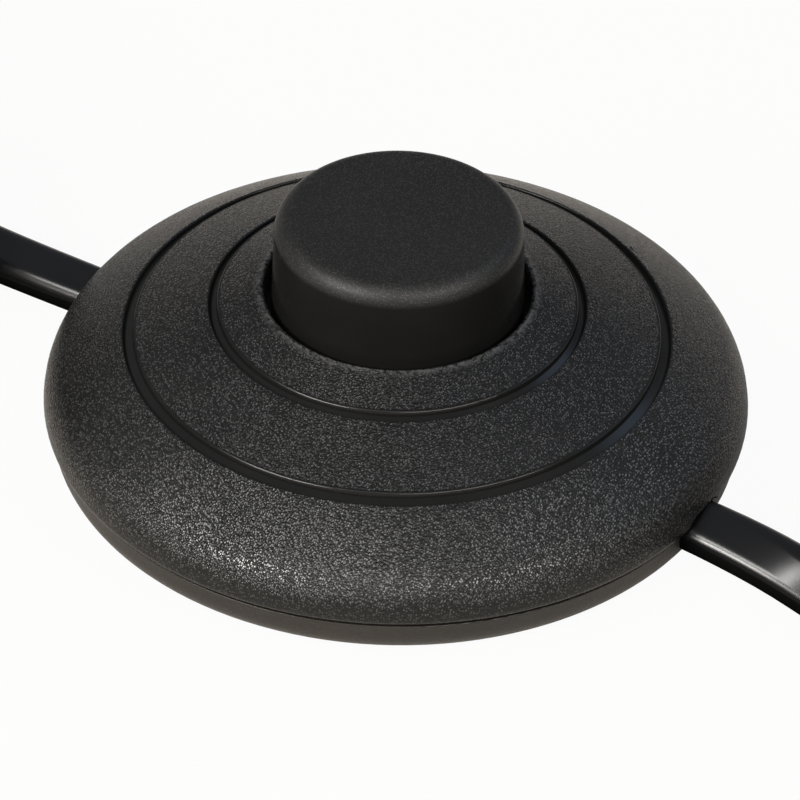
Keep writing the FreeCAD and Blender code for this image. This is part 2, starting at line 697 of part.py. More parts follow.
# Cord clamps: a bar with round ends across each cord, drawn down by two screws into the base's bosses.
clamps = []
for cord, side in SIDES:
    x = f"{side} * {CLAMP_X}"
    middle = block(f"{cord}_clamp_middle", ("clamp_width", "clamp_length - clamp_width", "clamp_thickness"),
                   x, 0, CLAMP_FACE)
    ends = []
    holes = []
    for end, along in (("left", 1), ("right", -1)):
        ends.append(cylinder(f"{cord}_clamp_{end}", "clamp_width / 2", "clamp_thickness", x,
                             f"{along} * (clamp_length - clamp_width) / 2", CLAMP_FACE))
        holes.append(cylinder(f"{cord}_clamp_hole_{end}", "clamp_screw_radius + screw_clearance",
                              "clamp_thickness + 2", x, f"{along} * clamp_screw_pitch / 2",
                              f"{CLAMP_FACE} - 1"))
    clamps.append(removed(f"{cord}_cord_clamp", joined(f"{cord}_clamp_bar", middle, *ends), *holes))
clamp_screw = screw(mm("clamp_head_radius"), mm("clamp_head_height"), mm("clamp_screw_radius"),
                    mm("clamp_thickness + clamp_screw_grip"))
clamp_screws = copies("clamp_screws", clamp_screw, [
    (side * mm(CLAMP_X), along * mm("clamp_screw_pitch / 2"), mm(f"{CLAMP_FACE} - clamp_screw_grip"))
    for side in (-1, 1) for along in (1, -1)])


def inner_core(name, start, finish, heading, shares):
    """Insulated core from the sheath's end to a terminal, with its bare conductor in the wire hole."""
    start = Vector(*start)
    finish = Vector(*finish)
    span = finish - start
    points = [start + Vector(span.x * i, span.y * j, span.z * k) for i, j, k in shares]
    insulation = round_core(points, name, mm("core_radius"))
    conductor = Part.makeCylinder(mm("conductor_radius"), mm("conductor_length"), finish, Vector(*heading))
    return freeform(name, insulation.fuse(conductor))


# Cores inside the housing: live to the line contacts, neutral to the link.
cores = []
for cord, side in SIDES:
    start_x = side * mm(SHEATH_END)
    half = mm("core_pitch / 2")
    cores.append(inner_core(
        f"{cord}_live_core", (start_x, -half, mm(CORD_Z)),
        (side * mm("terminal_x"), mm("-terminal_y + terminal_size / 2"), mm(WIRE_Z)), (0, -1, 0),
        ((0, 0, 0), (0.4, 0, 0), (0.85, 0.22, 0.6), (1, 0.6, 1), (1, 1, 1))))
    cores.append(inner_core(
        f"{cord}_neutral_core", (start_x, half, mm(CORD_Z)),
        (side * mm("link_length / 2"), mm("link_y"), mm(WIRE_Z)), (-side, 0, 0),
        ((0, 0, 0), (0.3, 0, 0), (0.47, 0.25, 0.4), (0.53, 0.72, 0.8), (0.7, 1, 1), (1, 1, 1))))

# Cords from the clamps, through the slots, to the hanks.
HANK_BOTTOM = "tie_thickness"
HANK_TOP = "(tie_thickness + hank_height)"
hank_half = mm("hank_straight / 2")
lay_z = mm(f"{HANK_BOTTOM} + cord_width / 2")
outer_run = mm("hank_y - hank_fold_radius - hank_turn_pitch / 2")
near_end = mm("hank_x") - hank_half
exit_x = mm(SHEATH_END)
exit_z = mm(CORD_Z)
bend_x = exit_x + mm("cord_first_run")
sway_x = bend_x + mm("cord_second_run")
lap_x = near_end + mm("cord_lap_in_hank")
supply_cord = flat_cord("supply_cord", [
    (-exit_x, 0, exit_z), (-bend_x, 0, exit_z),
    (-sway_x, mm("supply_cord_sway"), exit_z - mm("supply_cord_sag")), (-lap_x, -outer_run, lay_z)])
lamp_cord = flat_cord("lamp_cord", [
    (exit_x, 0, exit_z), (bend_x, 0, exit_z),
    (sway_x, -mm("lamp_cord_sway"), exit_z - mm("lamp_cord_sag")), (lap_x, outer_run, lay_z)])


def long_ring(half_width, height, x, y, z):
    """Solid with straight sides and round ends, lying along X."""
    wire = obround(mm("hank_straight") + 2 * half_width, 2 * half_width, Vector(x, y, z), Vector(1, 0, 0),
                   Vector(0, 1, 0))
    return Part.Face(wire).extrude(Vector(0, 0, height))


# Hanks: two turns side by side in two layers, drawn as one solid each, with a tie round one run.
hanks = []
ties = []
half_bundle = mm("hank_turn_pitch / 2 + cord_thickness / 2")
fold = mm("hank_fold_radius")
for cord, side in SIDES:
    centre = (side * mm("hank_x"), side * mm("hank_y"), mm(HANK_BOTTOM))
    outside = long_ring(fold + half_bundle, mm("hank_height"), *centre)
    inside = long_ring(fold - half_bundle, mm("hank_height"), *centre)
    hanks.append(freeform(f"{cord}_cord_hank", outside.cut(inside)))
    run_y = f"{side} * (hank_y + hank_fold_radius)"
    run_x = f"{side} * hank_x"
    width = "(hank_turn_pitch + cord_thickness)"
    band = removed(
        f"{cord}_tie_band",
        block(f"{cord}_tie_outside",
              ("tie_width", f"{width} + 2 * tie_thickness", "hank_height + 2 * tie_thickness"),
              run_x, run_y, 0),
        block(f"{cord}_tie_inside", ("tie_width + 2", width, "hank_height"), run_x, run_y, HANK_BOTTOM))
    head_y = f"{side} * (hank_y + hank_fold_radius + {width} / 2 + tie_head / 2 - 0.5)"
    head = block(f"{cord}_tie_head", ("tie_head", "tie_head - 1.5", "tie_head"), run_x, head_y,
                 "hank_height / 2 - tie_head / 2")
    ties.append(joined(f"{cord}_cord_tie", band, head))

# End of the supply cord: from the top layer of its hank round one more fold to the plug on top.
plug_z = mm(f"{HANK_TOP} + plug_gap + plug_thickness / 2")
plug_y = mm("-hank_y") + fold - mm("hank_turn_pitch / 2")
last_run_y = mm("-hank_y") - fold
fold_middle = (plug_y + last_run_y) / 2
tail_fold = (plug_y - last_run_y) / 2
tail_x = -near_end + 2
corner_share = math.tan(math.radians(22.5)) * tail_fold
layer_z = mm(f"{HANK_BOTTOM} + hank_height * 0.75")
tail_start_x = tail_x - corner_share - 1
supply_cord_end = flat_cord("supply_cord_end", [
    (tail_start_x, last_run_y, layer_z), (tail_x + corner_share, last_run_y, layer_z),
    (tail_x + tail_fold, fold_middle - corner_share, layer_z + 3.0),
    (tail_x + tail_fold, fold_middle + corner_share, layer_z + 7.0),
    (tail_x + corner_share, plug_y, plug_z), (tail_start_x, plug_y, plug_z)])


def soft_section(x, width, thickness):
    """Rounded rectangle across X, its corners rounded by two fifths of its thickness."""
    rounding = 0.4 * thickness
    half = Vector(0, width / 2, thickness / 2)
    centres = [(Vector(x, i * (half.y - rounding), j * (half.z - rounding)), start)
               for i, j, start in ((1, 1, 0), (-1, 1, 90), (-1, -1, 180), (1, -1, 270))]
    points = []
    for centre, start in centres:
        angles = [math.radians(start + part) for part in (0, 45, 90)]
        points.append([centre + Vector(0, math.cos(a), math.sin(a)) * rounding for a in angles])
    edges = []
    for index, arc in enumerate(points):
        edges.append(Part.Arc(*arc).toShape())
        edges.append(Part.LineSegment(arc[2], points[(index + 1) % 4][0]).toShape())
    return Part.Wire(edges)


# Plug: moulded body with finger grips, a strain relief grooved to bend, and sleeved pins.
# It is drawn along +X, then laid on the hank along -X.
plug_length = mm("plug_length")
neck = (mm("plug_neck_width"), mm("plug_neck_thickness"))
full = (mm("plug_width"), mm("plug_thickness"))
body_form = Part.makeLoft([
    soft_section(0, *neck),
    soft_section(0.3 * plug_length, neck[0] + 0.35 * (full[0] - neck[0]), 0.92 * full[1]),
    soft_section(0.62 * plug_length, 0.82 * full[0], full[1]),
    soft_section(plug_length, *full)], True, True)
relief = Part.makeLoft([
    soft_section(-mm("relief_length"), mm("cord_width + 2 * relief_wall"),
                 mm("cord_thickness + 2 * relief_wall")),
    soft_section(0, *neck)], True, True)
forward = Vector(1, 0, 0)
grooves = []
for count in range(1, 6):
    x = -mm("relief_length") + count * mm("bend_groove_pitch")
    core = obround(mm("cord_width + 2 * bend_groove_core"), mm("cord_thickness + 2 * bend_groove_core"),
                   Vector(x, 0, 0), Vector(0, 1, 0), Vector(0, 0, 1))
    outside = Part.makeBox(mm("bend_groove_width"), full[0], full[1], Vector(x, -full[0] / 2, -full[1] / 2))
    grooves.append(outside.cut(Part.Face(core).extrude(forward * mm("bend_groove_width"))))
grips = []
for count in range(4):
    x = 0.62 * plug_length - mm("grip_pitch") * (count - 1.5)
    for face in (-1, 1):
        height = face * (full[1] / 2 + mm("grip_radius - grip_depth"))
        grips.append(Part.makeCylinder(mm("grip_radius"), mm("grip_length"),
                                       Vector(x, -mm("grip_length / 2"), height), Vector(0, 1, 0)))
sleeves = []
pin_solids = []
for side in (-1, 1):
    middle = side * mm("pin_pitch / 2")
    root = Vector(plug_length - mm("pin_root"), middle, 0)
    sleeve_end = Vector(plug_length + mm("sleeve_length"), middle, 0)
    stem_radius = mm("sleeve_radius - sleeve_wall")
    stem = Part.makeCylinder(stem_radius, sleeve_end.x - root.x, root, forward)
    sleeve = Part.makeCylinder(mm("sleeve_radius"), mm("sleeve_length + 1"),
                               Vector(plug_length - 1, middle, 0), forward)
    sleeves.append((sleeve, stem))
    bare = Part.makeCylinder(mm("pin_radius"), mm("pin_length - sleeve_length"), sleeve_end, forward)
    tip = [edge for edge in bare.Edges if abs(edge.CenterOfMass.x - plug_length - mm("pin_length")) < 1e-6]
    pin_solids.append(stem.fuse(bare.makeFillet(mm("pin_tip_rounding"), tip)))
plug_form = body_form.fuse([relief] + [sleeve for sleeve, _ in sleeves]).cut(
    Part.makeCompound(grooves + grips + [stem for _, stem in sleeves]))
laid = FreeCAD.Placement(Vector(tail_start_x - mm("relief_length"), plug_y, plug_z),
                         FreeCAD.Rotation(Vector(0, 0, 1), 180))
plug_body = freeform("plug_body", plug_form)
plug_pins = freeform("plug_pins", Part.makeCompound(pin_solids))
plug_body.Placement = laid
plug_pins.Placement = laid

# Stripped end of the lamp cord, lying on top of its hank: two cores, each with a ferrule.
end_z = mm(f"{HANK_TOP} + cord_thickness / 2") + 0.2
end_y = mm("hank_y - hank_fold_radius")
sheath_x = near_end + 31
lamp_cord_end = flat_cord("lamp_cord_end", [
    (sheath_x, end_y, end_z), (near_end + 16, end_y, end_z), (near_end + 4, end_y, layer_z)])
end_cores = []
ferrules = []
for side in (-1, 1):
    start = Vector(sheath_x, end_y + side * mm("core_pitch / 2"), end_z)
    step = mm("end_core_length / 3")
    last = start + Vector(3 * step, side * 2.2, 0)
    splay = [start, start + Vector(step, 0, 0), start + Vector(2 * step, side * 1.2, 0), last]
    end_cores.append(round_core(splay, f"lamp_end_core_{'right' if side < 0 else 'left'}", mm("core_radius")))
    heading = Vector(step, side * 1.0, 0).normalize()
    collar = Part.makeCylinder(mm("ferrule_collar_radius"), mm("ferrule_length / 3"), last, heading)
    sleeve = Part.makeCylinder(mm("ferrule_radius"), mm("ferrule_length"), last, heading)
    ferrules.append(collar.fuse(sleeve))
lamp_end_cores = freeform("lamp_end_cores", Part.makeCompound(end_cores))
lamp_end_ferrules = freeform("lamp_end_ferrules", Part.makeCompound(ferrules))

doc.recompute()
nodes = [
    base, top_cover, case_screws, push_button, return_spring, ratchet_rotor, contact_bridge, *line_contacts,
    neutral_link, terminal_screws, *clamps, clamp_screws, *cores, supply_cord, lamp_cord, *hanks, *ties,
    supply_cord_end, plug_body, plug_pins, lamp_cord_end, lamp_end_cores, lamp_end_ferrules,
]
for feature in doc.Objects:
    if "Invalid" in feature.State or "Error" in feature.State:
        raise ValueError(f"{feature.Label} did not compute: {feature.State}")
os.makedirs("parts", exist_ok=True)
for node in nodes:
    if node.Shape.isNull() or not node.Shape.isValid() or node.Shape.Volume <= 0:
        raise ValueError(f"{node.Label} has no sound solid")
    node.Shape.exportStep(f"parts/{node.Label}.step")
    box = node.Shape.BoundBox
    print(f"{node.Label}: {len(node.Shape.Solids)} solids, volume {node.Shape.Volume:.1f}, "
          f"z {box.ZMin:.2f} to {box.ZMax:.2f}")
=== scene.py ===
"""Looks of an in-line lamp foot switch: black grained housing, push button, flat cord with plug and bare end."""
import math

import bpy
import numpy as np
from mathutils import Matrix, Vector


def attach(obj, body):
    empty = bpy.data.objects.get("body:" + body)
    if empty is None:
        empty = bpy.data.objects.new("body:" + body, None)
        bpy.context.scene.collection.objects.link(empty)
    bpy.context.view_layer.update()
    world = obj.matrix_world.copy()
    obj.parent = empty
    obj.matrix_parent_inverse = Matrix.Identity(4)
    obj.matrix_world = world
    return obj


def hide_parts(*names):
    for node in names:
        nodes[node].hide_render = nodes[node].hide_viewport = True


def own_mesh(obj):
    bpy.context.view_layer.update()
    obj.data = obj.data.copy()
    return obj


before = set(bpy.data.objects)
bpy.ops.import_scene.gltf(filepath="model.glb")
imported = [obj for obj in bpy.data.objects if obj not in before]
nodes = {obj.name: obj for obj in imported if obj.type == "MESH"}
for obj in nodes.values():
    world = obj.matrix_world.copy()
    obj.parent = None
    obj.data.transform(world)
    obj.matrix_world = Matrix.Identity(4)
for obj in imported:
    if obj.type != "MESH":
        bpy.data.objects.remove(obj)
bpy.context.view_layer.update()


# Base: a shallow round pan of black plastic, injection moulded with a fine satin skin.
# It stands on a ring at its edge, carries the switch works, and takes the two case screws from below.
GRAIN_NOISE_SHARE = 0.4
GRAIN_NOISE_ROUGHNESS = 0.55
PEAK_TOP = (0.46, 0.24)
RUBBED_CHANCE = (0.2, 0.8)
MOTTLES_PER_METRE = 90.0
MOTTLE_DETAIL = 4.0
MOTTLE_ROUGHNESS = 0.6
MOTTLE_SPAN = (0.3, 0.7)
POLISHED_ROUGHNESS = 0.2
BASE_BLACK = ((0.0120, 0.0102, 0.0080), (0.0185, 0.0159, 0.0125))
BASE_RUBBED = (0.0285, 0.0255, 0.0213)


def add_node(tree, kind, inputs=None, **settings):
    """A shader node with its settings, and its inputs set to values or joined to other nodes' outputs."""
    node = tree.nodes.new(kind)
    for name, value in settings.items():
        setattr(node, name, value)
    for socket, value in (inputs or {}).items():
        if isinstance(value, bpy.types.NodeSocket):
            tree.links.new(value, node.inputs[socket])
        else:
            node.inputs[socket].default_value = value
    return node


def calculate(tree, operation, *values):
    """Result of one Math operation on its values."""
    return add_node(tree, "ShaderNodeMath", dict(enumerate(values)), operation=operation).outputs[0]


def ramp(tree, value, span, reach=(0.0, 1.0)):
    """Value on a straight line: the two ends of span become the two ends of reach, and it is held beyond them."""
    return add_node(tree, "ShaderNodeMapRange", {"Value": value, "From Min": span[0], "From Max": span[1],
                                                 "To Min": reach[0], "To Max": reach[1]}).outputs["Result"]


def blend(tree, share, first, second):
    """Colour between two others by a share from 0 to 1. Each is another node's output or three plain numbers."""
    ends = [end if isinstance(end, bpy.types.NodeSocket) else (*end, 1) for end in (first, second)]
    return add_node(tree, "ShaderNodeMix", {0: share, 6: ends[0], 7: ends[1]}, data_type="RGBA").outputs[2]


def noise(tree, place, waves, detail=2.0, roughness=0.5):
    """Fractal noise about the middle of 0 to 1, with so many waves to the metre."""
    return add_node(tree, "ShaderNodeTexNoise", {"Vector": place, "Scale": waves, "Detail": detail,
                                                 "Roughness": roughness}).outputs["Fac"]


def own_place(tree):
    """Place on the piece, in Object coordinates."""
    return add_node(tree, "ShaderNodeTexCoord").outputs["Object"]


def new_group(name, inputs, outputs):
    """Empty shader node group whose sockets are plain numbers with the given names."""
    group = bpy.data.node_groups.new(name, "ShaderNodeTree")
    for way, sockets in (("INPUT", inputs), ("OUTPUT", outputs)):
        for socket in sockets:
            group.interface.new_socket(socket, in_out=way, socket_type="NodeSocketFloat")
    return group


def moulded_grain_group():
    """Skin of a moulding on Object coordinates.

    Height is a bed of round peaks, one for each cell, plus a little noise, as a spark-eroded mould leaves it.
    Fleck is 1 on the tops of about half the peaks, which are rubbed pale and bright, and 0 elsewhere.
    Mottle is a slow noise from 0 to 1, for the drift of colour and gloss over the piece.
    """
    group = new_group("moulded_grain", ["Grains per metre"], ["Height", "Fleck", "Mottle"])
    grains = add_node(group, "NodeGroupInput").outputs["Grains per metre"]
    place = own_place(group)
    cells = add_node(group, "ShaderNodeTexVoronoi", {"Vector": place, "Scale": grains}, feature="F1").outputs
    uneven = calculate(group, "MULTIPLY", noise(group, place, grains, roughness=GRAIN_NOISE_ROUGHNESS),
                       GRAIN_NOISE_SHARE)
    tops = ramp(group, cells["Distance"], PEAK_TOP)
    chance = add_node(group, "ShaderNodeSeparateColor", {0: cells["Color"]}).outputs["Red"]
    slow = noise(group, place, MOTTLES_PER_METRE, MOTTLE_DETAIL, MOTTLE_ROUGHNESS)
    add_node(group, "NodeGroupOutput", {
        "Height": calculate(group, "SUBTRACT", uneven, cells["Distance"]),
        "Fleck": calculate(group, "MULTIPLY", tops, ramp(group, chance, RUBBED_CHANCE)),
        "Mottle": ramp(group, slow, MOTTLE_SPAN)})
    return group


def new_material(name, **plain):
    """A material of one Principled BSDF with plain values on its sockets, given with _ for each space."""
    material = bpy.data.materials.new(name)
    material.use_nodes = True
    shader = material.node_tree.nodes["Principled BSDF"]
    for socket, value in plain.items():
        shader.inputs[socket.replace("_", " ")].default_value = value
    return material, material.node_tree, shader


def join(tree, shader, **outputs):
    """Joins other nodes' outputs to the shader's sockets, given with _ for each space."""
    for socket, output in outputs.items():
        tree.links.new(output, shader.inputs[socket.replace("_", " ")])


def relief(tree, height, depth):
    """Normal of a skin whose height of 1 stands depth metres high."""
    return add_node(tree, "ShaderNodeBump", {"Height": height, "Distance": depth}).outputs["Normal"]


def moulded_plastic(name, colours, roughness, grains, depth, smooth=None, pale=None, coat=None, worn=None, **plain):
    """Grained plastic: colour and roughness drift between two values each, and the grain stands depth high.

    pale is the colour of the rubbed flecks, where there are any; on the cover and the button it also paints glints.
    coat is the weight of the bright skin between the flecks and on them.
    smooth builds a mask in the material's tree, 1 where the grain is full and 0 where the skin is polished; the
    cover's and the cord's masks also fall for painted shade, under the rim and on the lower side.
    worn builds a mask that is 1 where the skin is pale all over, as the flecks are; on the cover it is wear with a
    painted highlight round the button hole.
    """
    material, tree, shader = new_material(name, **plain)
    skin = add_node(tree, "ShaderNodeGroup", {"Grains per metre": grains}, node_tree=moulded_grain).outputs
    height, fleck = skin["Height"], skin["Fleck"]
    colour = blend(tree, skin["Mottle"], *colours)
    gloss = ramp(tree, skin["Mottle"], (0.0, 1.0), roughness)
    if worn:
        fleck = calculate(tree, "MAXIMUM", fleck, worn(tree))
    shine = ramp(tree, fleck, (0.0, 1.0), coat) if coat else None
    # Where the mask falls for painted shade, it takes away the pale flecks, the coat and the grain.
    if smooth:
        mask = smooth(tree)
        fleck = calculate(tree, "MULTIPLY", fleck, mask)
        height = calculate(tree, "MULTIPLY", height, mask)
        gloss = add_node(tree, "ShaderNodeMix", {0: mask, 2: POLISHED_ROUGHNESS, 3: gloss}).outputs[0]
        shine = calculate(tree, "MULTIPLY", shine, mask) if coat else None
    if pale:
        colour = blend(tree, fleck, colour, pale)
    join(tree, shader, Base_Color=colour, Roughness=gloss, Normal=relief(tree, height, depth))
    if coat:
        join(tree, shader, Coat_Weight=shine)
    return material


def finish_nodes(material, *names):
    """Gives CAD nodes one material."""
    for name in names:
        nodes[name].data.materials.clear()
        nodes[name].data.materials.append(material)


moulded_grain = moulded_grain_group()
finish_nodes(moulded_plastic("base_satin_black", BASE_BLACK, roughness=(0.32, 0.4), grains=4200, depth=0.00002,
                             pale=BASE_RUBBED, Specular_IOR_Level=0.6), "base")


# Contacts, terminals and neutral link: strip and bar brass, stamped or drilled, lying in pockets of the base.
# The bridge is a springy bronze stamping riveted under the rotor.
TARNISH_PER_METRE = 420.0
TARNISH_DETAIL = 4.0
TARNISH_SPAN = (0.35, 0.7)
SCRATCHES_PER_METRE = (300.0, 6000.0, 6000.0)
SCRATCH_DEPTH = 0.000004


def worn_metal_group():
    """Handled metal on Object coordinates.

    Tarnish is a slow noise from 0 to 1. Scratches is a noise drawn out along X, for the rolled or turned skin.
    """
    group = new_group("worn_metal", [], ["Tarnish", "Scratches"])
    place = own_place(group)
    drawn = add_node(group, "ShaderNodeMapping", {"Vector": place, "Scale": SCRATCHES_PER_METRE}).outputs["Vector"]
    slow = noise(group, place, TARNISH_PER_METRE, TARNISH_DETAIL)
    add_node(group, "NodeGroupOutput", {"Tarnish": ramp(group, slow, TARNISH_SPAN),
                                        "Scratches": noise(group, drawn, 1.0)})
    return group


def metal(name, bright, dull, roughness):
    """Metal whose colour and roughness go from bright to dull with the tarnish, with fine scratches in relief."""
    material, tree, shader = new_material(name, Metallic=1.0)
    worn = add_node(tree, "ShaderNodeGroup", node_tree=worn_metal).outputs
    join(tree, shader, Base_Color=blend(tree, worn["Tarnish"], bright, dull),
         Roughness=ramp(tree, worn["Tarnish"], (0.0, 1.0), roughness),
         Normal=relief(tree, worn["Scratches"], SCRATCH_DEPTH))
    return material


worn_metal = worn_metal_group()
finish_nodes(metal("contact_brass", bright=(0.78, 0.58, 0.26), dull=(0.52, 0.36, 0.15), roughness=(0.2, 0.4)),
             "line_in_contact", "line_out_contact", "neutral_link")
finish_nodes(metal("contact_bronze", bright=(0.72, 0.43, 0.24), dull=(0.48, 0.27, 0.15), roughness=(0.22, 0.42)),
             "contact_bridge")


# Screws: zinc-plated steel with slotted heads, in the case, on the cord clamps and in the terminals.
# The plating is pale and slightly blue, duller where the driver and the thread have rubbed it.
finish_nodes(metal("zinc_plate", bright=(0.66, 0.68, 0.71), dull=(0.46, 0.47, 0.5), roughness=(0.22, 0.45)),
             "case_screws", "clamp_screws", "terminal_screws")


# Ratchet rotor: natural acetal, milky white, moulded in one with its four helical teeth.
# It turns on the base's post, an eighth of a turn for each press.
MILKY_WHITE = ((0.66, 0.64, 0.58), (0.74, 0.72, 0.66))
finish_nodes(moulded_plastic("natural_acetal", MILKY_WHITE, roughness=(0.28, 0.38), grains=3000, depth=0.000004,
                             Subsurface_Weight=0.15, Subsurface_Scale=0.0008), "ratchet_rotor")


# Cord clamps: a grey nylon bar over each cord, drawn down on the sheath by two screws.
# Inner cores: brown and blue insulation, extruded on the wire, from the sheath's end to the terminals.
CLAMP_GREY = ((0.09, 0.09, 0.092), (0.12, 0.12, 0.12))
BROWN = ((0.085, 0.03, 0.012), (0.11, 0.042, 0.018))
BLUE = ((0.012, 0.07, 0.24), (0.02, 0.095, 0.3))
INSULATION_ROUGHNESS = (0.28, 0.36)
INSULATION_GRAINS = 2400
INSULATION_DEPTH = 0.000004
finish_nodes(moulded_plastic("clamp_nylon", CLAMP_GREY, roughness=(0.38, 0.5), grains=3600, depth=0.000008),
             "supply_cord_clamp", "lamp_cord_clamp")
for insulation, core_colours, core in (("brown_insulation", BROWN, "live"), ("blue_insulation", BLUE, "neutral")):
    finish_nodes(moulded_plastic(insulation, core_colours, INSULATION_ROUGHNESS, INSULATION_GRAINS, INSULATION_DEPTH),
                 f"supply_{core}_core", f"lamp_{core}_core")


# Top cover: black domed shell, moulded with a coarse spark-eroded grain on its three terraces.
# The two ring grooves between them are polished. Under the rim the grain, the pale flecks and the coat fade out as
# painted shade, and the edge of the button hole is rubbed pale by use and carries a painted highlight.
BLACK = ((0.0072, 0.0072, 0.0070), (0.0102, 0.0101, 0.0096))
# Pale fleck colour of the cover and the button: rubbed grain tops, with painted glints on them.
RUBBED_AND_GLINT_PALE = (0.041, 0.0403, 0.0385)
GROOVES = ((0.01608, 0.01708), (0.02363, 0.02483))
GROOVE_FADE = 0.00008
# Painted shade under the rim: between these heights the flecks, coat and grain fall to the share below.
RIM_SHADE_FADE = (0.0040, 0.0066)
RIM_SHADE_GRAIN_SHARE = 0.15
# Painted highlight and wear: the skin round the button hole is made pale, for rubbing and for light on its edge.
HOLE_WEAR_AND_HIGHLIGHT = (0.0131, 0.0124)
WEAR_AND_HIGHLIGHT_SPECKS_PER_METRE = 2600.0
WEAR_AND_HIGHLIGHT_SPAN = (0.38, 0.58)


def axis_distance(tree, place):
    """Distance from the switch's upright axis: the length of the place with its height left out."""
    level = add_node(tree, "ShaderNodeVectorMath", {0: place, 1: (1.0, 1.0, 0.0)}, operation="MULTIPLY")
    return add_node(tree, "ShaderNodeVectorMath", {0: level.outputs["Vector"]}, operation="LENGTH").outputs["Value"]


def height_of(tree, place):
    """Height of a place above the floor."""
    return add_node(tree, "ShaderNodeSeparateXYZ", {0: place}).outputs["Z"]


def cover_grain_and_rim_shade_mask(tree):
    """1 on the terraces and 0 in the ring grooves, by distance from the middle of each groove.

    Under the rim's shoulder it falls with the height as painted shade, so that the lower rim renders darker.
    """
    place = own_place(tree)
    radius = axis_distance(tree, place)
    # Painted shade: the mask falls towards the bottom of the rim, so the lower rim renders darker.
    mask = ramp(tree, height_of(tree, place), RIM_SHADE_FADE, (RIM_SHADE_GRAIN_SHARE, 1.0))
    for inner, outer in GROOVES:
        half = (outer - inner) / 2
        away = calculate(tree, "ABSOLUTE", calculate(tree, "SUBTRACT", radius, (inner + outer) / 2))
        mask = calculate(tree, "MULTIPLY", mask, ramp(tree, away, (half, half + GROOVE_FADE)))
    return mask


def hole_wear_and_highlight_mask(tree):
    """Wear and painted highlight round the button hole: 1 at its edge, falling to 0 a little way out, and broken up
    by a noise.
    """
    place = own_place(tree)
    near = ramp(tree, axis_distance(tree, place), HOLE_WEAR_AND_HIGHLIGHT)
    return calculate(tree, "MULTIPLY", near, ramp(tree, noise(tree, place, WEAR_AND_HIGHLIGHT_SPECKS_PER_METRE), WEAR_AND_HIGHLIGHT_SPAN))


finish_nodes(moulded_plastic("cover_coarse_black", BLACK, roughness=(0.2, 0.25), grains=5000, depth=0.00008,
                             smooth=cover_grain_and_rim_shade_mask, pale=RUBBED_AND_GLINT_PALE, coat=(0.0, 0.8), worn=hole_wear_and_highlight_mask,
                             Specular_IOR_Level=0.31, Coat_IOR=2.5, Coat_Roughness=0.38), "top_cover")


# Push button: black cap with a finer grain on its top, and sides left smooth to slide in the cover.
# It is moulded hollow, presses on the return spring and turns the rotor by its prongs.
BUTTON_GRAIN_RISE = (0.0229, 0.0235)


def button_grain_mask(tree):
    """0 on the smooth side, 1 on the grained top, by height."""
    return ramp(tree, height_of(tree, own_place(tree)), BUTTON_GRAIN_RISE)


# The button's pale flecks are painted glints as well as rubbed tops.
finish_nodes(moulded_plastic("button_fine_black", BLACK, roughness=(0.3, 0.36), grains=7000, depth=0.000035,
                             smooth=button_grain_mask, pale=RUBBED_AND_GLINT_PALE, coat=(0.6, 1.0), Specular_IOR_Level=0.04,
                             Coat_IOR=1.57, Coat_Roughness=0.52), "push_button")


# Return spring: music wire wound to seven turns, the end ones closed up so that it stands square.
# It sits round the button's spigot, on the rotor's hub, and shortens as the button goes down.
SPRING_BOTTOM, SPRING_TOP = 0.009, 0.023
SPRING_RADIUS = 0.0033
SPRING_TURNS = 7
POINTS_PER_TURN = 40
WIRE_RADIUS = 0.0004
WIRE_SIDES = 14
END_TURN_RISE = 3.1 * WIRE_RADIUS


def sweep_ring(line, radius, sides):
    """Tube round a line of points: circles across its tangent, joined by quads, with a flat cap at each end."""
    tangent = np.gradient(line, axis=0)
    tangent /= np.linalg.norm(tangent, axis=1, keepdims=True)
    across = np.cross(tangent, (0, 0, 1))
    across /= np.linalg.norm(across, axis=1, keepdims=True)
    over = np.cross(across, tangent)
    angle = np.linspace(0, 2 * np.pi, sides, endpoint=False)[None, :, None]
    points = line[:, None] + radius * (np.cos(angle) * across[:, None] + np.sin(angle) * over[:, None])
    row = np.arange(len(line) - 1)[:, None] * sides
    first = np.arange(sides)[None, :]
    second = (first + 1) % sides
    quads = np.stack([row + first, row + second, row + sides + second, row + sides + first], axis=-1).reshape(-1, 4)
    last = (len(line) - 1) * sides + np.arange(sides)
    return points.reshape(-1, 3), quads.tolist() + [np.arange(sides)[::-1].tolist(), last.tolist()]


def new_piece(name, points, faces, material, body, slot):
    """Smooth-shaded mesh object in the row frame that rides on a body and takes the given material; slot is not used.
    """
    mesh = bpy.data.meshes.new(name)
    mesh.from_pydata(points, [], faces)
    mesh.shade_smooth()
    mesh.materials.append(material)
    piece = bpy.data.objects.new(name, mesh)
    bpy.context.scene.collection.objects.link(piece)
    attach(piece, body)
    return piece


turn = np.linspace(0, SPRING_TURNS, SPRING_TURNS * POINTS_PER_TURN + 1)
rise = np.interp(turn, [0, 1, SPRING_TURNS - 1, SPRING_TURNS],
                 [SPRING_BOTTOM + WIRE_RADIUS, SPRING_BOTTOM + END_TURN_RISE, SPRING_TOP - END_TURN_RISE,
                  SPRING_TOP - WIRE_RADIUS])
helix = np.column_stack([SPRING_RADIUS * np.cos(2 * np.pi * turn), SPRING_RADIUS * np.sin(2 * np.pi * turn), rise])
spring_steel = metal("spring_steel", bright=(0.5, 0.5, 0.51), dull=(0.3, 0.3, 0.31), roughness=(0.2, 0.36))
spring = new_piece("coil_spring", *sweep_ring(helix, WIRE_RADIUS, WIRE_SIDES), spring_steel, "housing",
                   "spring_steel")
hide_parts("return_spring")
# It is 14 mm long at rest and 10 mm when the button is down.
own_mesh(spring)


